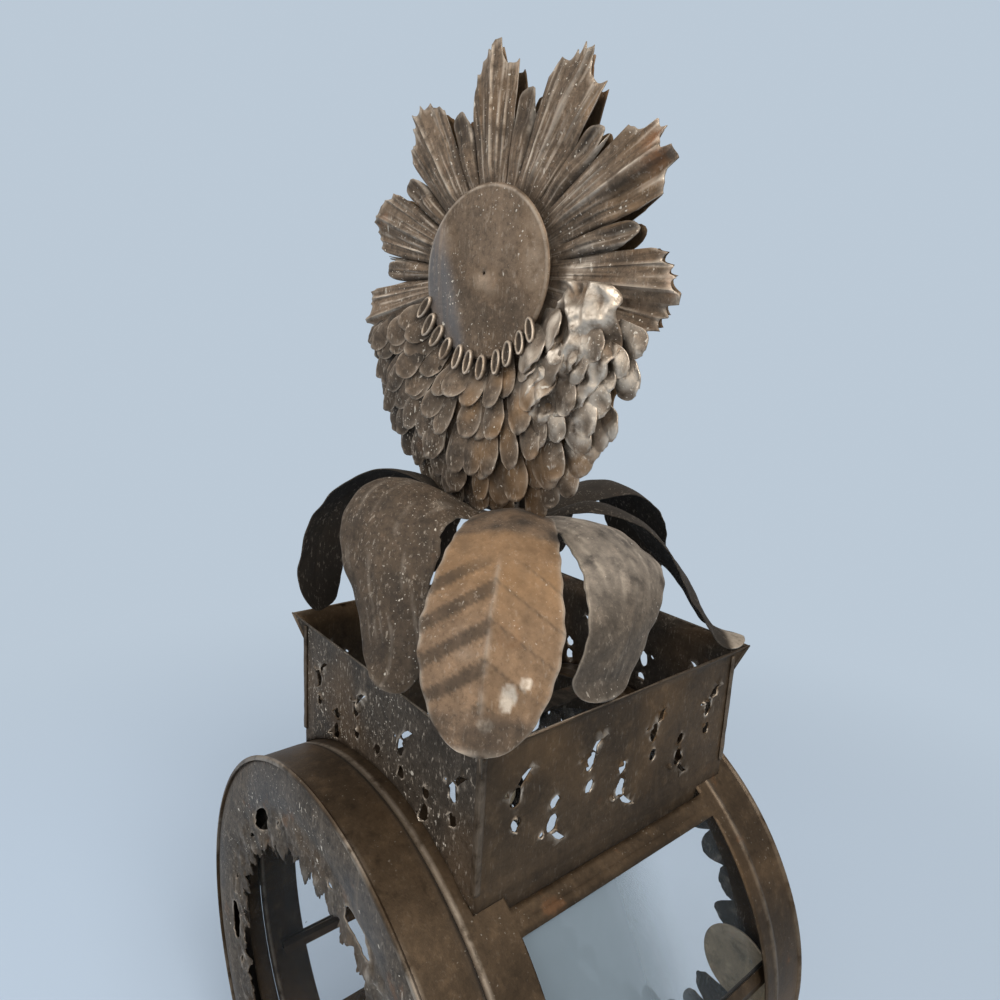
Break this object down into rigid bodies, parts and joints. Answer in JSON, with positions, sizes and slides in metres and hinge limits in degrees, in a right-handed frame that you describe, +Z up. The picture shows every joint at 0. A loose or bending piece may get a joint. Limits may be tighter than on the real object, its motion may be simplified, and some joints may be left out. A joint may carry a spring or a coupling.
{
  "type": "tin lantern",
  "caption": "Round glazed tin candle lantern on a foot, with a hinged front door, a pierced gallery, a crown of curled leaves and a rayed sun finial.",
  "frame": {"origin": "underside of the foot plate, straight below the middle of the pierced gallery", "axes": "+Z up, front door facing -Y, axis of the round drum along Y, +X to the right seen from the front"},
  "size_m": [0.3892, 0.3121, 0.8707],
  "materials": {
    "tin_brown": "aged brown tinplate, dull",
    "tin_grey": "weathered grey tinplate with pale specks",
    "tin_warm": "warm brown stained tinplate",
    "tin_bright": "worn tinplate, brighter on its high spots",
    "iron_dark": "dark iron, dull",
    "clear_glass": "clear sheet glass"
  },
  "bodies": {
    "lantern": {"drum_skin": "tin_brown", "bar_right_high": "tin_brown", "bar_right_low": "tin_brown", "bar_left_high": "tin_brown", "bar_left_low": "tin_brown", "back_glass_ring": "tin_brown", "gallery_wall_right": "tin_brown", "gallery_wall_left": "tin_brown", "leaf_collar": "tin_brown", "leaf_back_right": "tin_brown", "leaf_back": "tin_brown", "leaf_back_left": "tin_brown", "leaf_left": "tin_brown", "leaf_front_left": "tin_brown", "sun_back": "tin_brown", "sun_socket": "tin_brown", "sun_disc": "tin_brown", "candle_tray": "tin_brown", "foot_walls": "tin_brown", "foot_plate": "tin_brown", "back_plate": "tin_grey", "gallery_wall_front": "tin_grey", "gallery_wall_back": "tin_grey", "gallery_seam_front_right": "tin_grey", "gallery_seam_back_right": "tin_grey", "gallery_seam_back_left": "tin_grey", "gallery_seam_front_left": "tin_grey", "leaf_right": "tin_grey", "leaf_front": "tin_grey", "scale_row_1": "tin_grey", "scale_row_2": "tin_grey", "leaf_front_right": "tin_warm", "sun_front": "tin_warm", "scale_row_3": "tin_bright", "scale_row_4": "tin_bright", "scale_row_5": "tin_bright", "candle_socket": "tin_bright", "drip_pan": "tin_bright", "reflector_right": "tin_bright", "reflector_left": "tin_bright", "hinge_leaf_drum": "iron_dark", "hinge_pin": "iron_dark", "latch_pivot": "iron_dark", "stem_strap": "iron_dark", "stem": "iron_dark", "pane_right_upper": "clear_glass", "pane_right_middle": "clear_glass", "pane_right_lower": "clear_glass", "pane_left_upper": "clear_glass", "pane_left_middle": "clear_glass", "pane_left_lower": "clear_glass", "back_glass": "clear_glass"},
    "door": {"door_rim": "tin_brown", "door_plate": "tin_grey", "door_glass": "clear_glass", "door_glass_ring": "tin_brown", "hinge_leaf_door": "iron_dark", "latch_stud": "iron_dark"},
    "hook": {"latch_hook": "iron_dark"}
  },
  "joints": [
    {"name": "door_hinge", "type": "hinge", "parent": "lantern", "child": "door", "pos_m": [-0.1925, -0.1313, 0.222], "axis": [0, 0, -1], "range_deg": [0, 110]},
    {"name": "hook_pivot", "type": "hinge", "parent": "lantern", "child": "hook", "pos_m": [0.1904, -0.112, 0.222], "axis": [1, 0, 0], "range_deg": [-60, 270]}
  ]
}
